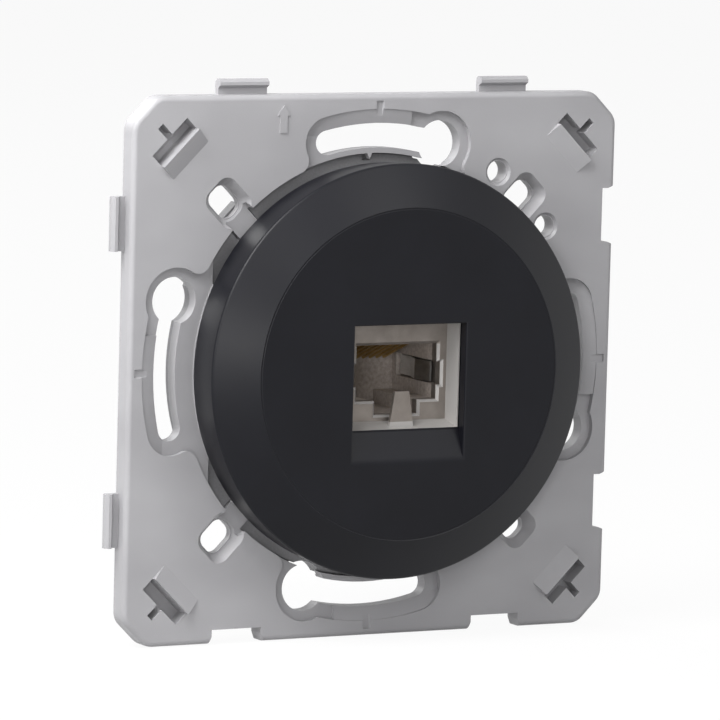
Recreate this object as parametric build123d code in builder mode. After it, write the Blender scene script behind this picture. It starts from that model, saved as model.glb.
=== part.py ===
from build123d import *
import math
import os

# A flush socket for an eight-way data plug: a square mounting frame, a round dark cover
# and a shielded jack behind it.  Millimetres.  X runs to the right, Z up and Y into the
# wall.  The origin is the middle of the frame's back face, which rests on the wall.

os.makedirs("parts", exist_ok=True)

# Mounting frame, sized from the box screws that it takes.
screw_spacing = 60.0
slot_margin = 5.4
frame_side = screw_spacing + 2 * slot_margin
frame_thickness = 2.75
corner_cut = 3.5
corner_round = 2.4
edge_round = 0.7
pocket_depth = 0.75
aperture_radius = 27.7
shelf_depth = 2.1
shelf_radius = aperture_radius - shelf_depth
shelf_start = 23.3
bead_width = 0.25
bead_height = 0.2
tooth_x = -1.0
tooth_half = 0.45
tooth_reach = 0.8
blend_round = 1.6

# Keyhole slots for the box screws.
slot_radius = screw_spacing / 2
slot_width = 3.2
slot_lead_in = 0.3
slot_narrow_x = -7.3
keyhole_x = 9.15
keyhole_z = slot_radius - 1.25
keyhole_radius = 3.08
pocket_width = 6.9
pocket_keyhole_radius = 4.35
pocket_left = -12.0
pocket_right = 4.8
pocket_outer_depth = 0.08

# Centre marks and the arrow.
mark_start = 31.2
mark_length = 3.3
mark_half = 0.62
mark_slope = 0.22
mark_depth = 0.28
arrow_x = -14.05
arrow_tip = 34.1
arrow_foot = 30.5
arrow_head = 1.35
arrow_head_half = 0.9
arrow_shaft_half = 0.52
arrow_rise = 0.15

# Pockets on the diagonals.
diagonal_half = 2.6
diagonal_inner = aperture_radius - 0.1
diagonal_length = 5.95
diagonal_round = 1.6
diagonal_depth = 1.6
diagonal_hole_half = 1.65
diagonal_hole_inner = diagonal_inner + 0.8
diagonal_hole_length = 4.3
diagonal_hole_round = 1.3
diagonal_ledge = 0.12
bridge_half = 1.7
bridge_depth = 1.2
small_hole_radius = 1.45
small_sink_radius = 1.85
small_sink_depth = 0.35
small_hole_near = 17.7
small_hole_far = 25.0

# T pockets and their ramps.
corner_reach = (frame_side - corner_cut) / math.sqrt(2)
bar_from_corner = 6.8
bar_width = 1.95
bar_half = 3.4
bar_depth = 2.2
stem_length = 1.9
stem_half = 0.48
ramp_length = 2.4
ramp_rise = 0.85
bar_inner = corner_reach - bar_from_corner
bar_outer = bar_inner + bar_width
stem_outer = bar_outer + stem_length
ramp_start = bar_inner - ramp_length

# Lugs and notches that join frames at a 71 mm pitch.
lug_middle = 19.05
lug_width = 7.0
lug_reach = 2.0
lug_root = 1.0
lug_thickness = 0.8
lug_rise = 1.45
lug_bevel = 0.4
notch_width = 7.1
notch_mouth = 7.9
notch_flare = 1.0
notch_depth = 1.85

# Cover.
cover_back = 1.0
cover_back_radius = 26.6
cover_edge_height = 7.1
cover_edge_radius = 27.0
cover_face_height = 10.0
cover_face_radius = 21.53
cover_wall = 1.4
cover_edge_round = 0.35
cover_face_round = 0.3
opening_half = 8.1
opening_top = 6.45
opening_bottom = -7.2
scoop_bottom = -11.3
jack_sink = 1.5
pad_half = 10.0
pad_top = 10.0
pad_bottom = -12.6
leg_radius = 17.0
leg_width = 6.0
leg_thickness = 1.6
hook_reach = 0.8
hook_length = 1.4

# Holder behind the cover.
holder_overlap = 0.15
holder_radius = aperture_radius + holder_overlap
holder_thickness = 1.8
holder_flat = 25.9
holder_gap = 0.2
seat_gap = 0.25
seat_depth = 0.25
tab_half = 1.7
tab_reach = 28.6
boss_height = 1.15
sleeve_front = -8.0
sleeve_back = 4.4
sleeve_half = 9.9
sleeve_wall = 1.75
rib_width = 1.2
rib_height = 5.0
rib_reach = 24.0
catch_width = 5.0
catch_overlap = 0.12
catch_root = 1.4
catch_height = 0.45
slide_gap = 0.15
touch_gap = 0.1

# Jack housing.
jack_half = 8.0
jack_top = 8.0
jack_bottom = -8.1
mouth_depth = 2.0
mouth_half = 7.85
mouth_top = 6.9
mouth_bottom = -7.25
face_half = 7.1
face_top = 6.2
face_bottom = -6.3
face_wall = 1.5
housing_back = 7.8
cavity_half = 6.75
cavity_top = 6.9
cavity_bottom = -5.9
port_half = 5.85
port_top = 3.5
port_bottom = -3.75
latch_half = 3.1
latch_bottom = -5.55
port_edge = 0.35
side_notch_half = 6.4
side_notch_low = -1.9
side_notch_high = 1.1
tongue_stand_off = 0.95
tongue_thickness = 0.5
tongue_tip = -2.4
tongue_foot = -7.0
tongue_tip_half = 1.02
tongue_foot_half = 1.75

# Inside the jack.
insert_half = 6.65
insert_back = 6.2
insert_gap = 0.05
comb_half = 4.1
comb_rise = 0.35
spring_pocket_x = 5.5
spring_pocket_back = 2.0
plug_depth = 12.4
wire_radius = 0.225
wire_pitch = 1.02
wire_height = 4.4
wire_bend = 0.6
wire_front = -8.4
wire_tip_y = 1.2
wire_tip_z = 0.7
spring_thickness = 0.25
spring_root_x = 6.62
spring_belly_x = 5.6
spring_tip_x = 6.3
spring_back = 1.7
spring_shoulder = -1.0
spring_belly = -4.0
spring_front = -6.9
spring_margin = 0.2
board_half = 6.5
board_thickness = 1.2
board_hole_gap = 0.06
pin_gap = 0.12
block_half = 5.7
block_base = 0.9
tower_low = 1.2
tower_high = 5.6
tower_back = 14.5
terminal_pitch = 2.8
terminal_row = 3.1
terminal_width = 2.1
terminal_thickness = 0.4
terminal_gap = 0.1
terminal_pin = 0.55
fork_width = 0.45
fork_depth = 3.5
wire_slot = 1.1
wire_slot_depth = 3.4
blade_sink = 0.6
cap_half = 6.4
cap_height = 6.45
cap_front = 10.7
cap_back = 17.0
cap_cable_radius = 3.6
cap_notch_width = 1.5
cap_notch_height = 1.8
cap_notch_depth = 2.2

# Rear wings.
wing_start = 8.7
wing_back = 24.0
wing_wall = 1.0
wing_half = 8.05
wing_top = 7.7
wing_gap = 0.15
wing_round = 1.5
cable_radius = 4.0
hinge_x = 7.0
hinge_y = 9.7
trunnion_radius = 0.9
trunnion_clearance = 0.05
ear_inner = 8.0
ear_outer = 9.2
ear_half = 1.4
ear_root = 4.5

# Positions along Y, which is zero at the wall and negative in front of it.
half_side = frame_side / 2
frame_front = -frame_thickness
pocket_floor = frame_front + pocket_depth
cover_face = frame_front - cover_face_height
cover_inside = cover_face + cover_wall
jack_front = cover_face + jack_sink
jack_face = jack_front + mouth_depth
insert_front = jack_face + face_wall + 0.05
board_front = insert_back + 0.05
board_back = board_front + board_thickness
block_front = board_back + 0.05
block_floor = block_front + block_base


def facing(y, turn=0.0):
    """Plane parallel to the wall at y, seen from the front, turned about the axis."""
    angle = math.radians(turn)
    x_dir = (math.cos(angle), 0, math.sin(angle))
    return Plane(origin=(0, y, 0), x_dir=x_dir, z_dir=(0, -1, 0))


def radial(turn):
    """Plane through the axis: first direction outwards, second towards the viewer."""
    angle = math.radians(turn)
    x_dir = (math.cos(angle), 0, math.sin(angle))
    return Plane(origin=(0, 0, 0), x_dir=x_dir, z_dir=(math.sin(angle), 0, -math.cos(angle)))


def across(distance, turn=0.0):
    """Plane square to a radius of the wall plane, at this distance from the axis."""
    angle = math.radians(turn)
    out = (-math.sin(angle), 0, math.cos(angle))
    origin = (distance * out[0], 0, distance * out[2])
    return Plane(origin=origin, x_dir=(math.cos(angle), 0, math.sin(angle)), z_dir=out)


def block(x0, x1, y0, y1, z0, z1, mode=Mode.ADD):
    """Box between two corners."""
    with Locations(((x0 + x1) / 2, (y0 + y1) / 2, (z0 + z1) / 2)):
        Box(abs(x1 - x0), abs(y1 - y0), abs(z1 - z0), mode=mode)


def save(piece, label):
    """Name the finished piece and write its file."""
    piece.part.label = label
    export_step(piece.part, "parts/" + label + ".step")
    print(label, round(piece.part.volume, 1), len(piece.part.solids()), len(piece.part.faces()))


# Shapes shared by several cuts.
slot_end_angle = math.acos(slot_narrow_x / slot_radius)
slot_start_angle = math.acos(keyhole_x / slot_radius)


def keyhole_shape(width, round_radius):
    """Slot bent round the axis above the middle, with a round opening at its right end."""
    reach = 2 * slot_radius
    Circle(slot_radius + width / 2)
    Circle(slot_radius - width / 2, mode=Mode.SUBTRACT)
    Polygon(
        (0, 0),
        (reach * math.cos(slot_start_angle), reach * math.sin(slot_start_angle)),
        (reach * math.cos(slot_end_angle), reach * math.sin(slot_end_angle)),
        align=None,
        mode=Mode.INTERSECT,
    )
    with Locations((slot_narrow_x, slot_radius * math.sin(slot_end_angle))):
        Circle(width / 2)
    with Locations((keyhole_x, keyhole_z)):
        Circle(round_radius)


with BuildSketch() as keyhole:
    keyhole_shape(slot_width, keyhole_radius)

with BuildSketch() as slot_pocket:
    keyhole_shape(pocket_width, pocket_keyhole_radius)

# The round recess in the middle runs into the four slot pockets.
with BuildSketch() as recess:
    Circle(aperture_radius)
    for quarter in range(4):
        with Locations(Location((0, 0, 0), (0, 0, 90 * quarter))):
            add(slot_pocket.sketch)
    corners = recess.vertices().filter_by(
        lambda v: abs(math.hypot(v.X, v.Y) - aperture_radius) < 0.05
    )
    fillet(corners, blend_round)

# Shelves left and right and a bridge on each diagonal stay inside the aperture.
with BuildSketch() as aperture:
    Circle(aperture_radius)
    Rectangle(2 * shelf_start, 3 * aperture_radius, mode=Mode.INTERSECT)
    Circle(shelf_radius)
    for quarter in range(4):
        with Locations(Location((0, 0, 0), (0, 0, 45 + 90 * quarter))):
            with Locations((0, shelf_radius + 3)):
                Rectangle(2 * bridge_half, 6, mode=Mode.SUBTRACT)

# The mounting frame is one moulding.
with BuildPart() as mounting_frame:
    with BuildSketch(facing(0)) as outline:
        Rectangle(frame_side, frame_side)
        chamfer(outline.vertices(), corner_cut)
        fillet(outline.vertices(), corner_round)
    extrude(amount=frame_thickness)
    front_edges = mounting_frame.faces().sort_by(Axis.Y)[0].edges()
    fillet(front_edges, edge_round)

    with BuildSketch(facing(frame_front)):
        add(aperture.sketch)
    extrude(amount=-frame_thickness, mode=Mode.SUBTRACT)
    with BuildSketch(facing(frame_front)):
        add(recess.sketch)
    extrude(amount=-pocket_depth, mode=Mode.SUBTRACT)

    # Seat on the back for the holder's disc and its tab, so that the wall face is free.
    with BuildSketch(facing(0)):
        Circle(holder_radius + seat_gap)
        with Locations(Location((0, 0, 0), (0, 0, 45))):
            with Locations((0, tab_reach / 2)):
                Rectangle(2 * (tab_half + seat_gap), tab_reach + 2 * seat_gap)
    extrude(amount=seat_depth, mode=Mode.SUBTRACT)

    # Bead along the inner edge of each shelf, and a small tooth above the middle.
    with BuildSketch(facing(pocket_floor)):
        Circle(shelf_radius + bead_width)
        Circle(shelf_radius, mode=Mode.SUBTRACT)
        Rectangle(2 * shelf_start, 3 * aperture_radius, mode=Mode.SUBTRACT)
    extrude(amount=bead_height)
    with BuildSketch(facing(pocket_floor)):
        Polygon(
            (tooth_x - tooth_half, aperture_radius + 0.2),
            (tooth_x, aperture_radius - tooth_reach),
            (tooth_x + tooth_half, aperture_radius + 0.2),
            align=None,
        )
    extrude(amount=-0.8)

    for quarter in range(4):
        # The pocket's floor rises towards the frame's side, so its outer edge fades.
        turn = 90 * quarter
        with BuildSketch(radial(90 + turn).offset(pocket_left)):
            Polygon(
                (slot_radius, -pocket_floor - 0.2),
                (slot_radius + pocket_width / 2 + 0.2, -pocket_floor - 0.2),
                (slot_radius + pocket_width / 2 + 0.2, frame_thickness - pocket_outer_depth),
                (slot_radius, -pocket_floor),
                align=None,
            )
        extrude(amount=pocket_right - pocket_left)

        # Keyhole slot through the pocket floor.
        with BuildSketch(facing(frame_front, turn)):
            add(keyhole.sketch)
        extrude(amount=-frame_thickness, mode=Mode.SUBTRACT)

        # Centre mark, a groove with sloping sides.
        with BuildSketch(across(mark_start, turn)):
            with BuildLine():
                Polyline(
                    (-mark_half, -frame_thickness - 0.1),
                    (mark_half, -frame_thickness - 0.1),
                    (mark_half - mark_slope, -frame_thickness + mark_depth),
                    (mark_slope - mark_half, -frame_thickness + mark_depth),
                    close=True,
                )
            make_face()
        extrude(amount=mark_length, mode=Mode.SUBTRACT)

    for quarter in range(4):
        # Diagonal pocket, its slotted hole, and the bridge towards the middle.
        turn = 45 + 90 * quarter
        with BuildSketch(facing(frame_front, turn)):
            with Locations((0, diagonal_inner + diagonal_length / 2)):
                RectangleRounded(2 * diagonal_half, diagonal_length, diagonal_round)
        with BuildSketch(facing(frame_front + diagonal_depth, turn)):
            with Locations((0, diagonal_hole_inner + diagonal_hole_length / 2)):
                RectangleRounded(
                    2 * (diagonal_hole_half + diagonal_ledge),
                    diagonal_hole_length + 2 * diagonal_ledge,
                    diagonal_hole_round + diagonal_ledge,
                )
        loft(mode=Mode.SUBTRACT)
        with BuildSketch(facing(frame_front, turn)):
            with Locations((0, shelf_radius + 1)):
                Rectangle(2 * bridge_half + 0.6, 4)
        extrude(amount=-bridge_depth, mode=Mode.SUBTRACT)
        with BuildSketch(facing(frame_front, turn)):
            with Locations((0, diagonal_hole_inner + diagonal_hole_length / 2)):
                RectangleRounded(
                    2 * diagonal_hole_half, diagonal_hole_length, diagonal_hole_round
                )
        extrude(amount=-frame_thickness, mode=Mode.SUBTRACT)

        # Blind T pocket for a claw, with the ramp that leads the claw in.
        with BuildSketch(facing(frame_front, turn)):
            with Locations((0, (bar_inner + bar_outer) / 2)):
                Rectangle(2 * bar_half, bar_outer - bar_inner)
            with Locations((0, (bar_inner + stem_outer) / 2)):
                Rectangle(2 * stem_half, stem_outer - bar_inner)
        extrude(amount=-bar_depth, mode=Mode.SUBTRACT)
        with BuildSketch(radial(90 + turn)):
            with BuildLine():
                Polyline(
                    (ramp_start, frame_thickness),
                    (bar_inner, frame_thickness + ramp_rise),
                    (bar_inner, frame_thickness - 0.3),
                    (ramp_start, frame_thickness - 0.3),
                    close=True,
                )
            make_face()
        extrude(amount=bar_half, both=True)

    # Two small countersunk holes beside the upper right pocket.
    small_holes = [(small_hole_near, small_hole_far), (small_hole_far, small_hole_near)]
    with BuildSketch(facing(frame_front)):
        with Locations(*small_holes):
            Circle(small_hole_radius)
    extrude(amount=-frame_thickness, mode=Mode.SUBTRACT)
    with BuildSketch(facing(frame_front)):
        with Locations(*small_holes):
            Circle(small_sink_radius)
    extrude(amount=-small_sink_depth, taper=40, mode=Mode.SUBTRACT)

    # Lugs on the top and left sides, notches on the right and bottom sides.
    for side in (90, 180):
        with BuildSketch(radial(side).offset(-lug_middle - lug_width / 2)) as lug_profile:
            with BuildLine():
                Polyline(
                    (half_side - lug_root, 0.0),
                    (half_side + lug_reach - lug_bevel, 0.0),
                    (half_side + lug_reach, lug_bevel),
                    (half_side + lug_reach, lug_rise - lug_bevel),
                    (half_side + lug_reach - lug_bevel, lug_rise),
                    (half_side + lug_reach - lug_thickness, lug_rise),
                    (half_side + lug_thickness, lug_thickness),
                    (half_side - lug_root, lug_thickness),
                    close=True,
                )
            make_face()
        extrude(amount=lug_width)
        with BuildSketch(radial(side).offset(lug_middle - lug_width / 2)):
            add(lug_profile.sketch_local)
        extrude(amount=lug_width)
    for side in (0, 270):
        for middle in (lug_middle, -lug_middle):
            with BuildSketch(facing(frame_front, side - 90)):
                with BuildLine():
                    Polyline(
                        (middle - notch_width / 2, half_side - notch_depth),
                        (middle + notch_width / 2, half_side - notch_depth),
                        (middle + notch_width / 2, half_side - notch_flare),
                        (middle + notch_mouth / 2, half_side + 0.1),
                        (middle - notch_mouth / 2, half_side + 0.1),
                        (middle - notch_width / 2, half_side - notch_flare),
                        close=True,
                    )
                make_face()
            extrude(amount=-frame_thickness, mode=Mode.SUBTRACT)

    # Raised arrow that shows which way is up.
    with BuildSketch(facing(frame_front)):
        with BuildLine():
            Polyline(
                (arrow_x, arrow_tip),
                (arrow_x + arrow_head_half, arrow_tip - arrow_head),
                (arrow_x + arrow_shaft_half, arrow_tip - arrow_head),
                (arrow_x + arrow_shaft_half, arrow_foot),
                (arrow_x - arrow_shaft_half, arrow_foot),
                (arrow_x - arrow_shaft_half, arrow_tip - arrow_head),
                (arrow_x - arrow_head_half, arrow_tip - arrow_head),
                close=True,
            )
        make_face()
    extrude(amount=arrow_rise)
save(mounting_frame, "mounting_frame")

# The cover is a turned shell with an opening, a scoop and four legs.
with BuildPart() as cover:
    with BuildSketch():
        with BuildLine():
            Polyline(
                (0, cover_face),
                (cover_face_radius, cover_face),
                (cover_edge_radius, frame_front - cover_edge_height),
                (cover_back_radius, frame_front - cover_back),
                (cover_back_radius - cover_wall, frame_front - cover_back),
                (cover_edge_radius - cover_wall - 0.2, frame_front - cover_edge_height + 0.8),
                (cover_face_radius - 0.4, cover_inside),
                (0, cover_inside),
                close=True,
            )
        make_face()
    revolve(axis=Axis.Y)
    rings = cover.edges().filter_by(GeomType.CIRCLE)
    fillet(rings.filter_by(lambda e: abs(e.radius - cover_edge_radius) < 0.01), cover_edge_round)
    rings = cover.edges().filter_by(GeomType.CIRCLE)
    fillet(rings.filter_by(lambda e: abs(e.radius - cover_face_radius) < 0.01), cover_face_round)

    # Wall around the jack: it thickens the face and meets the holder's sleeve.
    block(-pad_half, pad_half, cover_inside - 0.2, sleeve_front - touch_gap, pad_bottom, pad_top)
    block(
        -opening_half,
        opening_half,
        cover_face - 1,
        sleeve_front,
        opening_bottom,
        opening_top,
        mode=Mode.SUBTRACT,
    )
    block(
        -jack_half - slide_gap,
        jack_half + slide_gap,
        jack_front - touch_gap,
        sleeve_front,
        jack_bottom - slide_gap,
        jack_top + slide_gap,
        mode=Mode.SUBTRACT,
    )
    # Scoop below the port, so a thumb reaches the plug's latch.
    with BuildSketch(Plane.YZ):
        with BuildLine():
            Polyline(
                (cover_face, scoop_bottom),
                (jack_front, opening_bottom),
                (cover_face - 1, opening_bottom),
                (cover_face - 1, scoop_bottom),
                close=True,
            )
        make_face()
    extrude(amount=opening_half, both=True, mode=Mode.SUBTRACT)

    # Legs that hook behind the holder.
    hook_start = holder_thickness + slide_gap
    for turn in (0, 90, 180, 270):
        with BuildSketch(radial(turn)):
            with BuildLine():
                Polyline(
                    (leg_radius - leg_thickness / 2, -cover_inside + 0.2),
                    (leg_radius + leg_thickness / 2, -cover_inside + 0.2),
                    (leg_radius + leg_thickness / 2, -hook_start),
                    (leg_radius + leg_thickness / 2 + hook_reach, -hook_start),
                    (leg_radius + leg_thickness / 2, -hook_start - hook_length),
                    (leg_radius - leg_thickness / 2, -hook_start - hook_length),
                    close=True,
                )
            make_face()
        extrude(amount=leg_width / 2, both=True)
save(cover, "cover")

# The holder has a disc behind the frame, a boss in its aperture and a sleeve for the jack.
with BuildSketch() as boss:
    Circle(aperture_radius - holder_gap)
    Rectangle(2 * (shelf_start - holder_gap), 3 * aperture_radius, mode=Mode.INTERSECT)
    Circle(shelf_radius - holder_gap)
    for quarter in range(4):
        with Locations(Location((0, 0, 0), (0, 0, 45 + 90 * quarter))):
            with Locations((0, shelf_radius - holder_gap + 3)):
                Rectangle(2 * (bridge_half + holder_gap), 6, mode=Mode.SUBTRACT)
        with Locations(Location((0, 0, 0), (0, 0, 90 * quarter))):
            with Locations((keyhole_x, keyhole_z)):
                Circle(keyhole_radius + slot_lead_in, mode=Mode.SUBTRACT)
    with Locations((tooth_x, aperture_radius)):
        Rectangle(2 * (tooth_half + holder_gap), 2 * (tooth_reach + holder_gap), mode=Mode.SUBTRACT)

with BuildPart() as jack_holder:
    with BuildSketch(facing(holder_thickness)) as disc:
        Circle(holder_radius)
        for quarter in range(4):
            with Locations(Location((0, 0, 0), (0, 0, 45 + 90 * quarter))):
                with Locations((0, holder_flat + 3)):
                    Rectangle(14, 6, mode=Mode.SUBTRACT)
            with Locations(Location((0, 0, 0), (0, 0, 90 * quarter))):
                with Locations((keyhole_x, keyhole_z)):
                    Circle(keyhole_radius + slot_lead_in, mode=Mode.SUBTRACT)
        with Locations(Location((0, 0, 0), (0, 0, 45))):
            with Locations((0, tab_reach / 2)):
                Rectangle(2 * tab_half, tab_reach)
    extrude(amount=holder_thickness)
    with BuildSketch(facing(0)):
        add(boss.sketch)
    extrude(amount=boss_height)
    for turn in range(8):
        with BuildSketch(radial(22.5 + 45 * turn)):
            with Locations(((rib_reach + sleeve_half) / 2, rib_height / 2)):
                Rectangle(rib_reach - sleeve_half, rib_height)
        extrude(amount=rib_width / 2, both=True)
    block(
        -sleeve_half,
        sleeve_half,
        sleeve_front,
        sleeve_back,
        jack_bottom - slide_gap - sleeve_wall,
        jack_top + slide_gap + sleeve_wall,
    )
    block(
        -jack_half - slide_gap,
        jack_half + slide_gap,
        sleeve_front,
        sleeve_back,
        jack_bottom - slide_gap,
        jack_top + slide_gap,
        mode=Mode.SUBTRACT,
    )
    with BuildSketch(facing(holder_thickness)):
        with PolarLocations(leg_radius + hook_reach / 2, 4):
            Rectangle(leg_thickness + hook_reach + 2 * slide_gap, leg_width + 2 * slide_gap)
    extrude(amount=rib_height + 3, mode=Mode.SUBTRACT)
    # Small catches that snap over the shelves of the frame.
    for turn in (0, 180):
        with BuildSketch(radial(turn)):
            with BuildLine():
                Polyline(
                    (shelf_radius - catch_root, 0.5),
                    (shelf_radius - holder_gap, 0.5),
                    (shelf_radius - holder_gap, -pocket_floor + bead_height + touch_gap),
                    (shelf_radius + catch_overlap, -pocket_floor + bead_height + touch_gap),
                    (shelf_radius - 2 * holder_gap, -pocket_floor + bead_height + catch_height),
                    (shelf_radius - catch_root, -pocket_floor + bead_height + catch_height),
                    close=True,
                )
            make_face()
        extrude(amount=catch_width / 2, both=True)
save(jack_holder, "jack_holder")

# The shielded housing of the jack is one die casting.
port_outline = [
    (-port_half, port_top),
    (port_half, port_top),
    (port_half, side_notch_high),
    (side_notch_half, side_notch_high),
    (side_notch_half, side_notch_low),
    (port_half, side_notch_low),
    (port_half, port_bottom),
    (latch_half, port_bottom),
    (latch_half, latch_bottom),
    (-latch_half, latch_bottom),
    (-latch_half, port_bottom),
    (-port_half, port_bottom),
    (-port_half, side_notch_low),
    (-side_notch_half, side_notch_low),
    (-side_notch_half, side_notch_high),
    (-port_half, side_notch_high),
]
with BuildPart() as shield_housing:
    block(-jack_half, jack_half, jack_front, housing_back, jack_bottom, jack_top)
    with BuildSketch(facing(jack_front)):
        with Locations((0, (mouth_top + mouth_bottom) / 2)):
            Rectangle(2 * mouth_half, mouth_top - mouth_bottom)
    with BuildSketch(facing(jack_face)):
        with Locations((0, (face_top + face_bottom) / 2)):
            Rectangle(2 * face_half, face_top - face_bottom)
    loft(mode=Mode.SUBTRACT)
    block(
        -cavity_half,
        cavity_half,
        jack_face + face_wall,
        housing_back,
        cavity_bottom,
        cavity_top,
        mode=Mode.SUBTRACT,
    )
    with BuildSketch(facing(jack_face)) as port:
        with BuildLine():
            Polyline(*port_outline, close=True)
        make_face()
    extrude(amount=-face_wall, mode=Mode.SUBTRACT)
    with BuildSketch(facing(jack_face)):
        add(port.sketch_local)
        offset(amount=port_edge, kind=Kind.INTERSECTION)
    extrude(amount=-port_edge, taper=44, mode=Mode.SUBTRACT)
    with BuildSketch(facing(jack_face - tongue_stand_off)):
        with BuildLine():
            Polyline(
                (-tongue_foot_half, tongue_foot),
                (tongue_foot_half, tongue_foot),
                (tongue_tip_half, tongue_tip),
                (-tongue_tip_half, tongue_tip),
                close=True,
            )
        make_face()
    extrude(amount=tongue_thickness)
    # Ears that carry the rear wings.
    for side in (-1, 1):
        for up in (-1, 1):
            x0 = side * (hinge_x - ear_half)
            x1 = side * (hinge_x + ear_half)
            block(x0, x1, ear_root, housing_back, up * 7.2, up * ear_outer)
            block(x0, x1, ear_root, hinge_y + ear_half, up * ear_inner, up * ear_outer)
    with Locations((hinge_x, hinge_y, 0), (-hinge_x, hinge_y, 0)):
        Cylinder(trunnion_radius + trunnion_clearance, 40, mode=Mode.SUBTRACT)
    block(
        -cavity_half,
        cavity_half,
        insert_back,
        housing_back + 1,
        cavity_bottom,
        cavity_top,
        mode=Mode.SUBTRACT,
    )
save(shield_housing, "shield_housing")

# A plastic insert guides the plug and the contact wires.
with BuildPart() as contact_insert:
    block(
        -insert_half,
        insert_half,
        insert_front,
        insert_back,
        cavity_bottom + insert_gap,
        cavity_top - 2 * insert_gap,
    )
    channel_back = jack_face + plug_depth
    block(
        -port_half - insert_gap,
        port_half + insert_gap,
        insert_front,
        channel_back,
        port_bottom - insert_gap,
        port_top + insert_gap,
        mode=Mode.SUBTRACT,
    )
    block(
        -latch_half - insert_gap,
        latch_half + insert_gap,
        insert_front,
        channel_back,
        latch_bottom - insert_gap,
        0,
        mode=Mode.SUBTRACT,
    )
    block(
        -comb_half,
        comb_half,
        insert_front + 1,
        channel_back,
        0,
        wire_height + comb_rise,
        mode=Mode.SUBTRACT,
    )
    block(
        -comb_half,
        comb_half,
        channel_back - 1,
        insert_back,
        wire_height - comb_rise,
        wire_height + comb_rise,
        mode=Mode.SUBTRACT,
    )
    for side in (-1, 1):
        block(
            side * spring_pocket_x,
            side * (insert_half + 1),
            insert_front,
            spring_pocket_back,
            side_notch_low,
            side_notch_high,
            mode=Mode.SUBTRACT,
        )
save(contact_insert, "contact_insert")

# Eight contact wires run along the top, round a bend and back down into the plug's way.
wire_end = board_back - 0.1
for index in range(8):
    wire_x = (index - 3.5) * wire_pitch
    with BuildPart() as contact:
        with BuildLine(Plane.YZ.offset(wire_x)) as wire_line:
            FilletPolyline(
                (wire_end, wire_height),
                (wire_front, wire_height),
                (wire_tip_y, wire_tip_z),
                radius=wire_bend,
            )
        with BuildSketch(Plane(origin=(wire_x, wire_end, wire_height), z_dir=(0, -1, 0))):
            Circle(wire_radius)
        sweep(path=wire_line.line)
    save(contact, "contact_" + str(index + 1))

# Springs that earth the plug's shield, one on each side.
for side, label in ((-1, "ground_spring_left"), (1, "ground_spring_right")):
    with BuildPart() as spring:
        with BuildSketch(Plane.XY.offset(side_notch_low + spring_margin)):
            with BuildLine():
                Polyline(
                    (side * spring_root_x, spring_back),
                    (side * spring_root_x, spring_shoulder),
                    (side * spring_belly_x, spring_belly),
                    (side * spring_tip_x, spring_front),
                    (side * (spring_tip_x - spring_thickness), spring_front),
                    (side * (spring_belly_x - spring_thickness), spring_belly),
                    (side * (spring_root_x - spring_thickness), spring_shoulder),
                    (side * (spring_root_x - spring_thickness), spring_back),
                    close=True,
                )
            make_face()
        extrude(amount=side_notch_high - side_notch_low - 2 * spring_margin)
    save(spring, label)

# Circuit board between the contact wires and the terminals.
terminal_places = []
for row in (terminal_row, -terminal_row):
    for column in range(4):
        terminal_places.append(((column - 1.5) * terminal_pitch, row))
with BuildPart() as circuit_board:
    block(
        -board_half, board_half, board_front, board_back, cavity_bottom + 0.2, cavity_top - 0.2
    )
    with BuildSketch(facing(board_back)):
        with Locations((0, wire_height)):
            with GridLocations(wire_pitch, 1, 8, 1):
                Circle(wire_radius + board_hole_gap)
        with Locations(*terminal_places):
            Rectangle(terminal_pin + pin_gap, terminal_thickness + pin_gap)
    extrude(amount=board_thickness, mode=Mode.SUBTRACT)
save(circuit_board, "circuit_board")

# Terminal block: a base and two towers with a pocket for each blade.
with BuildPart() as terminal_block:
    block(-block_half, block_half, block_front, block_floor, -tower_high, tower_high)
    block(-block_half, block_half, block_front, tower_back, tower_low, tower_high)
    block(-block_half, block_half, block_front, tower_back, -tower_high, -tower_low)
    with BuildSketch(facing(tower_back)):
        with Locations(*terminal_places):
            Rectangle(terminal_width + 2 * terminal_gap, terminal_thickness + 2 * terminal_gap)
    extrude(amount=tower_back - block_floor, mode=Mode.SUBTRACT)
    with BuildSketch(facing(tower_back)):
        with Locations(*terminal_places):
            Rectangle(terminal_pin + pin_gap, terminal_thickness + pin_gap)
    extrude(amount=tower_back - block_front, mode=Mode.SUBTRACT)
    with BuildSketch(facing(tower_back)):
        with Locations(*terminal_places):
            Rectangle(wire_slot, 2 * (tower_high - terminal_row) + 0.4)
    extrude(amount=wire_slot_depth, mode=Mode.SUBTRACT)
save(terminal_block, "terminal_block")

# Terminals: forked blades, each with a pin through the board.
blade_start = block_floor + 0.05
blade_end = tower_back - blade_sink
for index, (terminal_x, terminal_z) in enumerate(terminal_places):
    with BuildPart() as terminal:
        with BuildSketch(Plane.XY.offset(terminal_z - terminal_thickness / 2)):
            with Locations((terminal_x, (blade_start + blade_end) / 2)):
                Rectangle(terminal_width, blade_end - blade_start)
            with Locations((terminal_x, (board_front + 0.1 + blade_start) / 2)):
                Rectangle(terminal_pin, blade_start - board_front)
            with Locations((terminal_x, blade_end - fork_depth / 2)):
                Rectangle(fork_width, fork_depth + 0.1, mode=Mode.SUBTRACT)
        extrude(amount=terminal_thickness)
    save(terminal, "terminal_" + str(index + 1))

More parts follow.
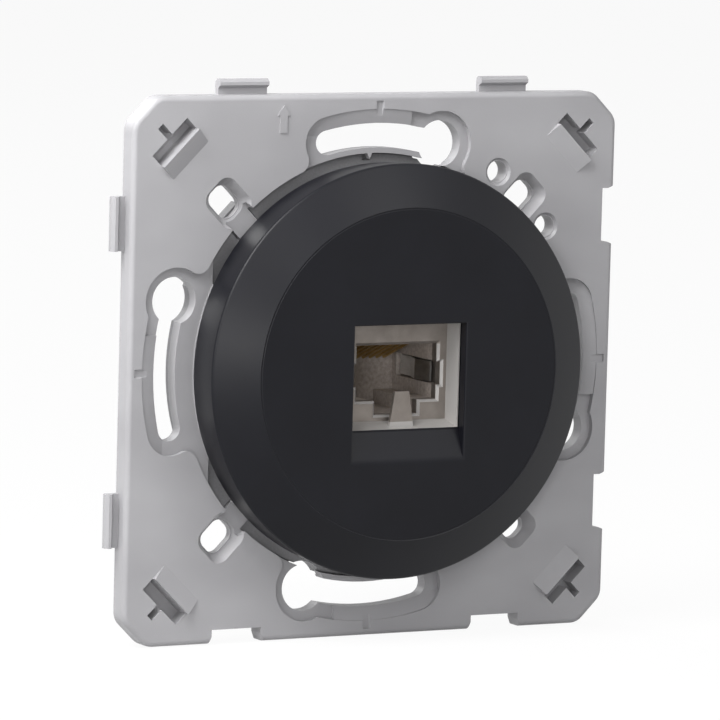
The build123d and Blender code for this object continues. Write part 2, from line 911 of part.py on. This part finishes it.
# The cap presses over the towers and pushes the wires into the forks.
with BuildPart() as wire_cap:
    block(-cap_half, cap_half, cap_front, cap_back, -cap_height, cap_height)
    block(
        -block_half - slide_gap,
        block_half + slide_gap,
        cap_front,
        tower_back + touch_gap,
        -tower_high - slide_gap,
        tower_high + slide_gap,
        mode=Mode.SUBTRACT,
    )
    with BuildSketch(facing(cap_back)):
        Circle(cap_cable_radius)
    extrude(amount=cap_back - tower_back, mode=Mode.SUBTRACT)
    with BuildSketch(facing(cap_front + cap_notch_depth)):
        with GridLocations(terminal_pitch, 2 * cap_height, 4, 2):
            Rectangle(cap_notch_width, cap_notch_height)
    extrude(amount=cap_notch_depth + 1, mode=Mode.SUBTRACT)
save(wire_cap, "wire_cap")

# The hinged rear wings are half shells that close round the cable.
for side, label in ((-1, "wing_left"), (1, "wing_right")):
    with BuildPart() as wing:
        block(side * wing_gap, side * wing_half, wing_start, wing_back, -wing_top, wing_top)
        outer = wing.edges().filter_by(Axis.Z).sort_by(Axis.Y)[-2:]
        outer_corner = outer.sort_by(lambda e: abs(e.center().X))[-1]
        fillet(outer_corner, wing_round)
        block(
            side * -1,
            side * (wing_half - wing_wall),
            wing_start - 1,
            wing_back - wing_wall,
            -wing_top + wing_wall,
            wing_top - wing_wall,
            mode=Mode.SUBTRACT,
        )
        with BuildSketch(facing(wing_back)):
            Circle(cable_radius)
        extrude(amount=wing_wall, mode=Mode.SUBTRACT)
        with Locations((side * hinge_x, hinge_y, 0)):
            Cylinder(trunnion_radius, 2 * ear_outer)
        block(
            side * -1,
            side * (wing_half - wing_wall),
            wing_start - 1,
            wing_back - wing_wall,
            -wing_top + wing_wall,
            wing_top - wing_wall,
            mode=Mode.SUBTRACT,
        )
    save(wing, label)
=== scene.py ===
# %% [markdown]
# # A flush data socket
# The frame comes first: every piece of the construction model is loaded at its real
# size, in metres, with the wall at y = 0 and the room at negative y. What follows only
# dresses it. The light, the finishes and one very smooth new surface are added, and the
# pieces of the model stay where they are.

import math

import bmesh
import bpy
import numpy as np
from mathutils import Matrix, Vector


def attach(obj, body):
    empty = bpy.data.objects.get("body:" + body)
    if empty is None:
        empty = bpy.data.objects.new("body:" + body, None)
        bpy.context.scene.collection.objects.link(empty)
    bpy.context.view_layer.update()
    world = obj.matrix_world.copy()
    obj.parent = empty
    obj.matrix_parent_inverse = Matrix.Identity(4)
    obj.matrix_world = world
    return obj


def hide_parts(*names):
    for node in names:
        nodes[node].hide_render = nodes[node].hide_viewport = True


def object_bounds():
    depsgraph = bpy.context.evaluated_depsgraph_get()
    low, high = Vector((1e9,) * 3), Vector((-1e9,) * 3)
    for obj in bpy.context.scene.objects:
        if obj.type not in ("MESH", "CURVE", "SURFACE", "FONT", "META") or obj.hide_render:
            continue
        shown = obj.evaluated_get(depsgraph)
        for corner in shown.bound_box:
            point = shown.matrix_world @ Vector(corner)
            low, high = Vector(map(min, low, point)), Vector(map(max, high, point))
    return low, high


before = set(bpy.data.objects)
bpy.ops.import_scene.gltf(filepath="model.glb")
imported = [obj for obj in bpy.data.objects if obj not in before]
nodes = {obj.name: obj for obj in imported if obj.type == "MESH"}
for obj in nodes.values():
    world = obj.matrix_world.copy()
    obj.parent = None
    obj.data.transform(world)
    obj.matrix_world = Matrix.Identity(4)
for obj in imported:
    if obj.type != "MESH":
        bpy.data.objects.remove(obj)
model_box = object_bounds()
MM = 0.001
print("pieces loaded:", len(nodes))

# %% [markdown]
# ## A few helpers for finishes
# A finish is a small network of nodes. Writing each network by hand hides what matters,
# so a helper adds one node and sets its sockets in a single line. The patterns read
# Object coordinates, which are metres here. A noise scale of 1000 therefore gives
# features about a millimetre across, and they stay fixed to the piece.


# %% Helpers that build a material
def new_finish(name):
    """An empty material with its Principled shader, ready for its sockets."""
    finish = bpy.data.materials.new(name)
    finish.use_nodes = True
    return finish, finish.node_tree, finish.node_tree.nodes["Principled BSDF"]


def put(tree, kind, **values):
    """Add one node and set its inputs or properties by name."""
    node = tree.nodes.new(kind)
    for key, value in values.items():
        label = key.replace("_", " ")
        if label in node.inputs:
            node.inputs[label].default_value = value
        else:
            setattr(node, key, value)
    return node


def object_noise(tree, scale, detail=3.0, stretch=(1, 1, 1)):
    """Noise on Object coordinates, with the axes stretched before it is sampled."""
    place = put(tree, "ShaderNodeTexCoord")
    mapping = put(tree, "ShaderNodeMapping")
    mapping.inputs["Scale"].default_value = stretch
    noise = put(tree, "ShaderNodeTexNoise", Scale=scale, Detail=detail)
    tree.links.new(place.outputs["Object"], mapping.inputs["Vector"])
    tree.links.new(mapping.outputs["Vector"], noise.inputs["Vector"])
    return noise


def ramp(tree, source, stops):
    """Colour ramp fed by one value: stops are pairs of a position and a colour."""
    node = put(tree, "ShaderNodeValToRGB")
    while len(node.color_ramp.elements) < len(stops):
        node.color_ramp.elements.new(0.5)
    for element, (position, colour) in zip(node.color_ramp.elements, stops):
        element.position = position
        element.color = (*colour, 1.0)
    tree.links.new(source, node.inputs["Fac"])
    return node


def spread(tree, source, low, high):
    """Map a value between 0 and 1 onto a range."""
    node = put(tree, "ShaderNodeMapRange")
    node.inputs["To Min"].default_value = low
    node.inputs["To Max"].default_value = high
    tree.links.new(source, node.inputs["Value"])
    return node


def raise_surface(tree, shader, heights, distance, strength=0.5):
    """Bump the shader with a height pattern, in metres of distance."""
    bump = put(tree, "ShaderNodeBump", Strength=strength, Distance=distance)
    tree.links.new(heights, bump.inputs["Height"])
    tree.links.new(bump.outputs["Normal"], shader.inputs["Normal"])


def wear(obj, finish):
    """Give every material slot of an object this finish."""
    if not obj.material_slots:
        obj.data.materials.append(finish)
    for place in obj.material_slots:
        place.material = finish


print("helpers ready")

# %% [markdown]
# ## Grey moulding
# The mounting frame is moulded in a filled grey plastic. Such a moulding is never one
# flat grey: the melt flows in from a gate and leaves broad, faint clouds, the tool leaves
# a fine spark-eroded grain, and the skin is slightly glossier where the tool was
# polished. Two noises of very different sizes give those things: the broad one moves the
# tone and the gloss, and the fine one raises the grain. A picture could do it too, but it
# would have to be unwrapped onto every pocket and slot.

# %% Finish for the mounting frame
grey_moulding, tree, shader = new_finish("grey_moulding")
clouds = object_noise(tree, 55.0, 2.0, (1.0, 0.3, 1.6))
grain = object_noise(tree, 5200.0, 4.0)
greys = [(0.3, (0.284, 0.280, 0.291)), (0.7, (0.334, 0.330, 0.342))]
tone = ramp(tree, clouds.outputs["Fac"], greys)
tree.links.new(tone.outputs["Color"], shader.inputs["Base Color"])
gloss = spread(tree, clouds.outputs["Fac"], 0.4, 0.54)
tree.links.new(gloss.outputs["Result"], shader.inputs["Roughness"])
raise_surface(tree, shader, grain.outputs["Fac"], 0.00002, 0.35)
shader.inputs["Specular IOR Level"].default_value = 0.45
wear(nodes["mounting_frame"], grey_moulding)
print("grey moulding on the frame")

# %% [markdown]
# ## Dark cover
# The cover has a fine, even, almost velvety texture: a lot of tiny bumps that spread the
# reflection of a lamp into a broad sheen, so the bevel looks grey where it faces the
# light and the flat face stays nearly black. A small, dense bump with a middling
# roughness does that. Colour and roughness share one faint cloud, so no part of the
# cover is perfectly even.

# %% Finish for the cover
dark_cover, tree, shader = new_finish("dark_cover")
texture = object_noise(tree, 7000.0, 2.0)
clouds = object_noise(tree, 120.0, 2.0)
blacks = [(0.3, (0.0036, 0.0037, 0.0058)), (0.7, (0.0048, 0.0050, 0.0076))]
tone = ramp(tree, clouds.outputs["Fac"], blacks)
tree.links.new(tone.outputs["Color"], shader.inputs["Base Color"])
gloss = spread(tree, clouds.outputs["Fac"], 0.35, 0.41)
tree.links.new(gloss.outputs["Result"], shader.inputs["Roughness"])
raise_surface(tree, shader, texture.outputs["Fac"], 0.000012, 0.4)
shader.inputs["Specular IOR Level"].default_value = 0.2
wear(nodes["cover"], dark_cover)
print("dark cover finish made")

# %% [markdown]
# ## Mouldings that stand in shadow
# The holder behind the cover is a mid-grey moulding, seen only as a narrow band round
# the cover, in its shade. The guide inside the jack takes the brown of the plated
# casting round it and is mottled, as a plated moulding is. Neither is black: shade does
# that work, and a black finish would read as a hole.

# %% Finish for the holder
holder_moulding, tree, shader = new_finish("holder_moulding")
grain = object_noise(tree, 3500.0, 3.0)
mid_greys = [(0.2, (0.175, 0.174, 0.181)), (0.8, (0.225, 0.223, 0.232))]
tone = ramp(tree, grain.outputs["Fac"], mid_greys)
tree.links.new(tone.outputs["Color"], shader.inputs["Base Color"])
shader.inputs["Roughness"].default_value = 0.5
raise_surface(tree, shader, grain.outputs["Fac"], 0.00002, 0.3)
wear(nodes["jack_holder"], holder_moulding)

# %% Finish for the guide inside the jack
guide_moulding, tree, shader = new_finish("guide_moulding")
grain = object_noise(tree, 2200.0, 4.0)
browns = [(0.25, (0.24, 0.21, 0.19)), (0.75, (0.44, 0.385, 0.35))]
tone = ramp(tree, grain.outputs["Fac"], browns)
tree.links.new(tone.outputs["Color"], shader.inputs["Base Color"])
shader.inputs["Roughness"].default_value = 0.45
raise_surface(tree, shader, grain.outputs["Fac"], 0.00003, 0.4)
wear(nodes["contact_insert"], guide_moulding)
print("mouldings in shadow ready")

# %% [markdown]
# ## Plated casting
# The jack's housing is a zinc casting with a thin nickel plate. The plate follows every
# small unevenness of the casting, so the metal looks soft and slightly brown. Two bumps
# make the skin: broad waves from the casting and a fine grain from the tool. In the photograph
# the side and lower slopes of the mouth and the edge of the port are brighter than the lamps make
# them here, so the finish paints a highlight on them: a second, paler and less metallic tone that
# stands in for the lamps' reflection there. Its place is found from the Object coordinates: each
# test gives 0 or 1, a product stands for "and", and a maximum stands for "or".


# %% Tests that find where the highlight is painted
MOUTH_SIDE = 7.12 * MM
MOUTH_LOWER = -6.32 * MM
MOUTH_BACK = -9.26 * MM
PORT_BEVEL_MIDDLE = -9.07 * MM
PORT_BEVEL_HALF = 0.16 * MM
PORT_BEVEL_TOP = 3.45 * MM


def test(tree, operation, value, limit, width=0.0):
    """One comparison of a coordinate with a limit, in metres, as 0 or 1."""
    node = put(tree, "ShaderNodeMath", operation=operation)
    tree.links.new(value, node.inputs[0])
    node.inputs[1].default_value = limit
    node.inputs[2].default_value = width
    return node.outputs["Value"]


def joined(tree, operation, first, second):
    """Two tests joined by a product or a maximum."""
    node = put(tree, "ShaderNodeMath", operation=operation)
    tree.links.new(first, node.inputs[0])
    tree.links.new(second, node.inputs[1])
    return node.outputs["Value"]


def light_edges(tree):
    """1 where the highlight is painted: the side and lower slopes of the mouth and the port's
    bevel, not its top.
    """
    place = put(tree, "ShaderNodeTexCoord")
    split = put(tree, "ShaderNodeSeparateXYZ")
    tree.links.new(place.outputs["Object"], split.inputs["Vector"])
    width = put(tree, "ShaderNodeMath", operation="ABSOLUTE")
    tree.links.new(split.outputs["X"], width.inputs[0])
    side = test(tree, "GREATER_THAN", width.outputs["Value"], MOUTH_SIDE)
    lower = test(tree, "LESS_THAN", split.outputs["Z"], MOUTH_LOWER)
    mouth = test(tree, "LESS_THAN", split.outputs["Y"], MOUTH_BACK)
    slopes = joined(tree, "MULTIPLY", joined(tree, "MAXIMUM", side, lower), mouth)
    bevel = test(tree, "COMPARE", split.outputs["Y"], PORT_BEVEL_MIDDLE, PORT_BEVEL_HALF)
    below_top = test(tree, "LESS_THAN", split.outputs["Z"], PORT_BEVEL_TOP)
    return joined(tree, "MAXIMUM", slopes, joined(tree, "MULTIPLY", bevel, below_top))


print("tests for the light edges ready")


# %% Finish for the jack housing and the wings
def nickel_plate(name):
    """Nickel on a casting: waves and grain in the bump, a brown cloud in the colour."""
    finish, tree, shader = new_finish(name)
    waves = object_noise(tree, 420.0, 3.0)
    grain = object_noise(tree, 4500.0, 3.0)
    nickels = [(0.25, (0.170, 0.149, 0.132)), (0.75, (0.238, 0.214, 0.194))]
    tone = ramp(tree, waves.outputs["Fac"], nickels)
    tree.links.new(tone.outputs["Color"], shader.inputs["Base Color"])
    shader.inputs["Metallic"].default_value = 0.75
    gloss = spread(tree, grain.outputs["Fac"], 0.42, 0.56)
    tree.links.new(gloss.outputs["Result"], shader.inputs["Roughness"])
    heights = put(tree, "ShaderNodeMath", operation="MULTIPLY_ADD")
    heights.inputs[1].default_value = 3.0
    tree.links.new(waves.outputs["Fac"], heights.inputs[0])
    tree.links.new(grain.outputs["Fac"], heights.inputs[2])
    raise_surface(tree, shader, heights.outputs["Value"], 0.00003, 0.6)
    return finish, tree, shader, tone


nickel_wing = nickel_plate("nickel_wing")[0]
for name in ("wing_left", "wing_right"):
    wear(nodes[name], nickel_wing)

nickel_casting, tree, shader, tone = nickel_plate("nickel_casting")
# The mix node has a float, a vector and a colour version of each socket, told apart by
# their identifiers.
edges = light_edges(tree)
painted_highlight_mix = put(tree, "ShaderNodeMix", data_type="RGBA")
sockets = {socket.identifier: socket for socket in (*painted_highlight_mix.inputs, *painted_highlight_mix.outputs)}
# The colour of the painted highlight: a paler tone than the nickel, in place of the lamps'
# reflection on those slopes.
sockets["B_Color"].default_value = (0.34, 0.328, 0.318, 1)
tree.links.new(edges, sockets["Factor_Float"])
tree.links.new(tone.outputs["Color"], sockets["A_Color"])
tree.links.new(sockets["Result_Color"], shader.inputs["Base Color"])
metal = spread(tree, edges, 0.75, 0.45)
tree.links.new(metal.outputs["Result"], shader.inputs["Metallic"])
wear(nodes["shield_housing"], nickel_casting)
print("nickel on the casting and the wings")

# %% [markdown]
# ## Small metal parts, the board and the pale mouldings
# Contact wires carry a thin gold plate, drawn lengthwise, so their noise is stretched
# along y. Terminals and earth springs are tinned. The board shows its green mask with
# the glass weave just visible under it, and the terminal block is an uncoloured plastic
# that lets a little light in.

# %% Gold and tin
gold_plate, tree, shader = new_finish("gold_plate")
drawn = object_noise(tree, 3000.0, 2.0, (1.0, 0.08, 1.0))
golds = [(0.3, (0.78, 0.55, 0.2)), (0.7, (0.92, 0.7, 0.32))]
tone = ramp(tree, drawn.outputs["Fac"], golds)
tree.links.new(tone.outputs["Color"], shader.inputs["Base Color"])
shader.inputs["Metallic"].default_value = 1.0
shader.inputs["Roughness"].default_value = 0.22
raise_surface(tree, shader, drawn.outputs["Fac"], 0.000006, 0.3)
for number in range(1, 9):
    wear(nodes["contact_" + str(number)], gold_plate)

tinned_metal, tree, shader = new_finish("tinned_metal")
drawn = object_noise(tree, 1800.0, 3.0, (1.0, 0.3, 1.0))
tins = [(0.3, (0.52, 0.52, 0.51)), (0.7, (0.68, 0.68, 0.67))]
tone = ramp(tree, drawn.outputs["Fac"], tins)
tree.links.new(tone.outputs["Color"], shader.inputs["Base Color"])
shader.inputs["Metallic"].default_value = 1.0
gloss = spread(tree, drawn.outputs["Fac"], 0.25, 0.4)
tree.links.new(gloss.outputs["Result"], shader.inputs["Roughness"])
for number in range(1, 9):
    wear(nodes["terminal_" + str(number)], tinned_metal)
for name in ("ground_spring_left", "ground_spring_right"):
    wear(nodes[name], tinned_metal)
print("gold and tin done")

# %% Board and pale mouldings
board_mask, tree, shader = new_finish("board_mask")
weave = object_noise(tree, 2600.0, 1.0, (1.0, 1.0, 0.4))
greens = [(0.3, (0.012, 0.1, 0.035)), (0.7, (0.02, 0.15, 0.055))]
tone = ramp(tree, weave.outputs["Fac"], greens)
tree.links.new(tone.outputs["Color"], shader.inputs["Base Color"])
shader.inputs["Roughness"].default_value = 0.25
shader.inputs["Coat Weight"].default_value = 0.5
wear(nodes["circuit_board"], board_mask)

pale_moulding, tree, shader = new_finish("pale_moulding")
clouds = object_noise(tree, 300.0, 3.0)
creams = [(0.3, (0.66, 0.65, 0.61)), (0.7, (0.74, 0.73, 0.69))]
tone = ramp(tree, clouds.outputs["Fac"], creams)
tree.links.new(tone.outputs["Color"], shader.inputs["Base Color"])
shader.inputs["Roughness"].default_value = 0.42
shader.inputs["Subsurface Weight"].default_value = 0.08
shader.inputs["Subsurface Scale"].default_value = 0.001
raise_surface(tree, shader, clouds.outputs["Fac"], 0.00002, 0.3)
for name in ("terminal_block", "wire_cap"):
    wear(nodes[name], pale_moulding)
print("board and pale mouldings done")

# %% [markdown]
# ## The cover as one smooth surface
# The cover shows large, quiet curves: a flat face, a bevel and a skirt, all turned about
# one axis, with a rectangular opening in the middle. The facets of a construction model
# would show there. The new surface is a stack of closed rings, all with the same number
# of points: rectangles for the opening and circles further out. Joining each ring to
# the next makes quads, and because the last ring joins the first, the whole shell is
# closed like a bent tube. Circles and rectangles share one rule: a quarter of the points
# belongs to each side, so corners always fall on the same point numbers.

# %% Rings of the cover
SIDE_POINTS = 64


def rectangle_ring(x_half, low, high, y):
    """Closed rectangle at height y: point k runs along the sides at an even pace, with
    a corner at every quarter. Order: bottom right, top right, top left, bottom left."""
    corners = np.array([[x_half, low], [x_half, high], [-x_half, high], [-x_half, low]])
    after = np.roll(corners, -1, axis=0)
    along = np.arange(SIDE_POINTS)[:, None] / SIDE_POINTS
    flat = corners[:, None, :] * (1 - along) + after[:, None, :] * along
    flat = flat.reshape(-1, 2)
    return np.column_stack([flat[:, 0], np.full(len(flat), y), flat[:, 1]])


def circle_ring(radius, y):
    """Circle at height y: the angle runs evenly from minus 45 degrees, so its quarters
    match the sides of a rectangle."""
    angle = np.radians(-45) + np.arange(4 * SIDE_POINTS) * (2 * np.pi / (4 * SIDE_POINTS))
    x, z = radius * np.cos(angle), radius * np.sin(angle)
    return np.column_stack([x, np.full(len(angle), y), z])


def rounded_corner(before, corner, after, radius, steps=5):
    """Points of a circular round that replaces the corner of a profile line: the arc
    touches both lines at radius / tan(half of the angle between them)."""
    before, corner, after = (np.array(p, dtype=float) for p in (before, corner, after))
    into = (before - corner) / np.linalg.norm(before - corner)
    away = (after - corner) / np.linalg.norm(after - corner)
    half_angle = math.acos(np.clip(into @ away, -1, 1)) / 2
    middle_way = (into + away) / np.linalg.norm(into + away)
    centre = corner + middle_way * radius / math.sin(half_angle)
    first = corner + into * radius / math.tan(half_angle) - centre
    last = corner + away * radius / math.tan(half_angle) - centre
    share = np.linspace(0, 1, steps)[:, None]
    swing = math.pi - 2 * half_angle
    arc = (np.sin((1 - share) * swing) * first + np.sin(share * swing) * last) / math.sin(swing)
    return [tuple(p) for p in centre + arc]


print("points in a ring:", 4 * SIDE_POINTS)

# %% [markdown]
# The profile of the outside is a line in radius and depth. A fine groove, less than a
# tenth of a millimetre deep, parts the flat face from the slope and shows as a thin line.
# The outer edge gets the small round that a moulding tool leaves, and the rim of the
# opening gets one too, because a thin bright line shows there in the light.

# %% Depths and outline of the cover, in millimetres
FACE = -12.75
EDGE = -9.85
BACK = -3.75
INSIDE = -11.35
SLEEVE = -8.1
JACK_FRONT = -11.25
GROOVE = [(21.27, FACE), (21.34, FACE + 0.05), (21.45, FACE + 0.06), (21.55, FACE + 0.011)]

slope_start = (21.53, FACE)
outer_edge = (27.0, EDGE)
back_edge = (26.6, BACK)
back_inner = (25.2, BACK)
profile = [(19.5, FACE)] + GROOVE
profile += rounded_corner(slope_start, outer_edge, back_edge, 0.5, 8)
profile += rounded_corner(outer_edge, back_edge, back_inner, 0.15, 9)
profile += [back_inner, (25.4, -9.05), (21.13, INSIDE)]
print("points in the profile:", len(profile))

# %% Rings from the sleeve, out through the opening and round to the inside
SLEEVE_HALF = 8.15
SLEEVE_LOW = -8.25
OPENING_HALF = 8.1
OPENING_TOP = 6.45
SCOOP_START = -7.2
SCOOP_END = -10.76
SLEEVE_OUTSIDE = 10.0
SLEEVE_UNDERSIDE = -12.6
RIM_DEPTH = 0.2
# Each row is how much wider, how much lower and how deep one ring of the rim is.
RIM = [(0.06, 0.38, 0.06), (0.2, 0.7, 0.0), (0.5, 1.0, 0.0)]

rings = [
    rectangle_ring(SLEEVE_HALF, SLEEVE_LOW, SLEEVE_HALF, SLEEVE),
    rectangle_ring(SLEEVE_HALF, SLEEVE_LOW, SLEEVE_HALF, INSIDE),
    rectangle_ring(OPENING_HALF, SCOOP_START, OPENING_TOP, INSIDE),
    rectangle_ring(OPENING_HALF, SCOOP_START, OPENING_TOP, JACK_FRONT),
    rectangle_ring(OPENING_HALF, SCOOP_END, OPENING_TOP, FACE + RIM_DEPTH),
]
for wider, lower, deeper in RIM:
    rim_half, rim_low = OPENING_HALF + wider, SCOOP_END - lower
    rings.append(rectangle_ring(rim_half, rim_low, OPENING_TOP + wider, FACE + deeper))
rings += [circle_ring(radius, y) for radius, y in profile]
rings += [
    rectangle_ring(SLEEVE_OUTSIDE, SLEEVE_UNDERSIDE, SLEEVE_OUTSIDE, INSIDE),
    rectangle_ring(SLEEVE_OUTSIDE, SLEEVE_UNDERSIDE, SLEEVE_OUTSIDE, SLEEVE),
]
grid = np.array(rings)
print("rings:", grid.shape[0], "points:", grid.shape[0] * grid.shape[1])


# %% Turn grids of points into one mesh
def closed_grid_faces(rows, columns, first):
    """Quads of a grid that is closed both ways: each point joins the next in its ring
    and the same one in the next ring, and both counts wrap round."""
    row, column = np.meshgrid(np.arange(rows), np.arange(columns), indexing="ij")
    next_row = (row + 1) % rows
    next_column = (column + 1) % columns
    corners = [row * columns + column, next_row * columns + column]
    corners += [next_row * columns + next_column, row * columns + next_column]
    return first + np.stack([c.ravel() for c in corners], axis=1)


def make_piece(name, points, faces, finish, smooth_below=12.0):
    """Mesh from points in millimetres and quads or triangles, with sharp edges kept
    where two faces meet at more than the angle given."""
    mesh = bpy.data.meshes.new(name)
    mesh.from_pydata((np.asarray(points) * MM).tolist(), [], [list(map(int, f)) for f in faces])
    mesh.validate()
    mesh.polygons.foreach_set("use_smooth", np.ones(len(mesh.polygons), dtype=bool))
    mesh.set_sharp_from_angle(angle=math.radians(smooth_below))
    mesh.update()
    piece = bpy.data.objects.new(name, mesh)
    bpy.context.scene.collection.objects.link(piece)
    mesh.materials.append(finish)
    return piece


LEG_SIDE = np.array(
    [[16.2, -11.5], [17.8, -11.5], [17.8, 1.95], [18.6, 1.95], [17.8, 3.35], [16.2, 3.35]]
)
LEG_HALF_WIDTH = 3.0


def hooked_leg(turn):
    """One leg of the cover: the outline of its side, in radius and depth, pushed out to
    both sides of a plane through the axis, which is turned about it."""
    angle = math.radians(turn)
    out = np.array([math.cos(angle), 0, math.sin(angle)])
    across = np.array([-math.sin(angle), 0, math.cos(angle)])
    middle = LEG_SIDE[:, :1] * out + LEG_SIDE[:, 1:] * np.array([0, 1, 0])
    return np.vstack([middle - LEG_HALF_WIDTH * across, middle + LEG_HALF_WIDTH * across])


print("leg corners:", 2 * len(LEG_SIDE))

# %% The cover with its four legs
points = [grid.reshape(-1, 3)]
faces = [list(f) for f in closed_grid_faces(grid.shape[0], grid.shape[1], 0)]
for turn in (0, 90, 180, 270):
    start = sum(len(p) for p in points)
    leg = hooked_leg(turn)
    points.append(leg)
    count = len(leg) // 2
    ring = np.arange(count)
    sides = np.stack([ring, (ring + 1) % count, (ring + 1) % count + count, ring + count], axis=1)
    faces += [list(f) for f in sides + start]
    faces += [list(ring[::-1] + start), list(ring + count + start)]
cover_shell = make_piece("cover_shell", np.vstack(points), faces, dark_cover)


# %% Turn the faces outwards
def face_outwards(piece):
    """Recalculate the normals, so that every closed shell points out."""
    work = bmesh.new()
    work.from_mesh(piece.data)
    bmesh.ops.recalc_face_normals(work, faces=work.faces)
    work.to_mesh(piece.data)
    work.free()


face_outwards(cover_shell)
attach(cover_shell, "socket")
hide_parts("cover")
print("cover shell faces:", len(cover_shell.data.polygons))

# %% [markdown]
# ## Floor, light and camera
# The socket stands on a pale floor under soft studio light. A lamp close by, high on
# the left, gives the light edges of the frame, the grey bevel of the cover and the slow
# fall of brightness towards the lower right. A weaker one above shows in the top of the
# bevel and in the scoop. Four faint ones at the sides and in front show in the slopes,
# one behind lights the clamp, and the world adds an even glow. The background is white
# because the floor and the world say so to camera rays and to reflections, not because
# more light falls on the object.


# %% Rays that show the background
def background_rays(tree):
    """1 for a ray from the camera, off a shiny surface or through a clear one."""
    path = put(tree, "ShaderNodeLightPath")
    shiny = path.outputs["Is Glossy Ray"]
    clear = path.outputs["Is Transmission Ray"]
    either = joined(tree, "MAXIMUM", shiny, clear)
    return joined(tree, "MAXIMUM", path.outputs["Is Camera Ray"], either)


print("background test ready")

# %% Floor, with its sizes in metres
FLOOR_HALF = 4.0
FLOOR_FRONT = -2.0
FLOOR_BACK = 9.0
FLOOR_GAP = 0.1 * MM

floor_level = model_box[0].z - FLOOR_GAP
corners = [
    (-FLOOR_HALF, FLOOR_FRONT, floor_level),
    (FLOOR_HALF, FLOOR_FRONT, floor_level),
    (FLOOR_HALF, FLOOR_BACK, floor_level),
    (-FLOOR_HALF, FLOOR_BACK, floor_level),
]
floor_mesh = bpy.data.meshes.new("floor")
floor_mesh.from_pydata(corners, [], [(0, 1, 2, 3)])
floor = bpy.data.objects.new("floor", floor_mesh)
bpy.context.scene.collection.objects.link(floor)

floor_finish, tree, shader = new_finish("pale_floor")
shader.inputs["Base Color"].default_value = (0.5, 0.5, 0.5, 1)
shader.inputs["Roughness"].default_value = 0.8
glow = put(tree, "ShaderNodeEmission", Strength=1.05)
share = put(tree, "ShaderNodeMath", operation="MULTIPLY")
share.inputs[1].default_value = 0.88
mix = put(tree, "ShaderNodeMixShader")
tree.links.new(background_rays(tree), share.inputs[0])
tree.links.new(share.outputs["Value"], mix.inputs["Fac"])
tree.links.new(shader.outputs["BSDF"], mix.inputs[1])
tree.links.new(glow.outputs["Emission"], mix.inputs[2])
tree.links.new(mix.outputs["Shader"], tree.nodes["Material Output"].inputs["Surface"])
floor_mesh.materials.append(floor_finish)
print("floor at", round(floor_level, 5))

# %% World
world = bpy.data.worlds.new("studio")
bpy.context.scene.world = world
world.use_nodes = True
tree = world.node_tree
for node in list(tree.nodes):
    tree.nodes.remove(node)
soft_light = put(tree, "ShaderNodeBackground", Strength=0.13)
soft_light.inputs["Color"].default_value = (1.0, 1.0, 1.0, 1)
white_wall = put(tree, "ShaderNodeBackground", Strength=1.0)
white_wall.inputs["Color"].default_value = (1.0, 1.0, 1.0, 1)
mix = put(tree, "ShaderNodeMixShader")
out = put(tree, "ShaderNodeOutputWorld")
tree.links.new(background_rays(tree), mix.inputs["Fac"])
tree.links.new(soft_light.outputs["Background"], mix.inputs[1])
tree.links.new(white_wall.outputs["Background"], mix.inputs[2])
tree.links.new(mix.outputs["Shader"], out.inputs["Surface"])


# %% Lamps
def soft_lamp(name, azimuth, elevation, distance, size, level):
    """Square lamp aimed at the middle. Level is how much of a colour's written value it
    adds on a surface that faces it, so its power is the level times pi squared times the
    distance squared."""
    lamp = bpy.data.lights.new(name, "AREA")
    lamp.shape = "SQUARE"
    lamp.size = size
    lamp.energy = level * math.pi**2 * distance**2
    holder = bpy.data.objects.new(name, lamp)
    a, e = math.radians(azimuth), math.radians(elevation)
    back = Vector((math.sin(a) * math.cos(e), -math.cos(a) * math.cos(e), math.sin(e)))
    holder.location = back * distance
    holder.rotation_mode = "QUATERNION"
    holder.rotation_quaternion = (-back).to_track_quat("-Z", "Y")
    bpy.context.scene.collection.objects.link(holder)


soft_lamp("key", -68, 48, 0.23, 0.13, 1.45)
soft_lamp("top", 26, 41, 0.9, 0.4, 0.22)
soft_lamp("left", -74, 12, 0.8, 0.36, 0.30)
soft_lamp("right", 72, 14, 0.9, 0.4, 0.02)
soft_lamp("front", -34, 6, 0.8, 0.14, 0.22)
soft_lamp("upper_left", -14, 32, 0.8, 0.22, 0.09)
soft_lamp("behind", 206, 34, 0.9, 0.6, 0.5)
print("lamps set")

# %% [markdown]
# The camera stands where the photograph was taken: to the left of the socket and a
# little above it, about 0.8 m away, with a long lens that keeps the square almost
# square. Its turn is written as one axis and one angle, which take the world's axes to
# the camera's right, down and forward.

# %% Camera
CAMERA_PLACE = Vector((-0.373414, -0.699728, 0.091198))
FOCAL_PIXELS = 6130.017
PICTURE_PIXELS = 720.0
SENSOR_WIDTH = 36.0

turn = Vector((1.654209, -0.389996, 0.386905))
world_to_camera = Matrix.Rotation(turn.length, 3, turn.normalized())
axes = world_to_camera.transposed() @ Matrix.Diagonal((1, -1, -1))
camera = bpy.data.objects.new("camera", bpy.data.cameras.new("camera"))
camera.data.sensor_width = SENSOR_WIDTH
camera.data.lens = SENSOR_WIDTH * FOCAL_PIXELS / PICTURE_PIXELS
camera.data.clip_start = 0.01
camera.data.clip_end = 50.0
camera.matrix_world = Matrix.Translation(CAMERA_PLACE) @ axes.to_4x4()
bpy.context.scene.collection.objects.link(camera)
bpy.context.scene.camera = camera
bpy.context.scene.view_settings.view_transform = "Standard"
print("lens:", round(camera.data.lens, 1), "mm")
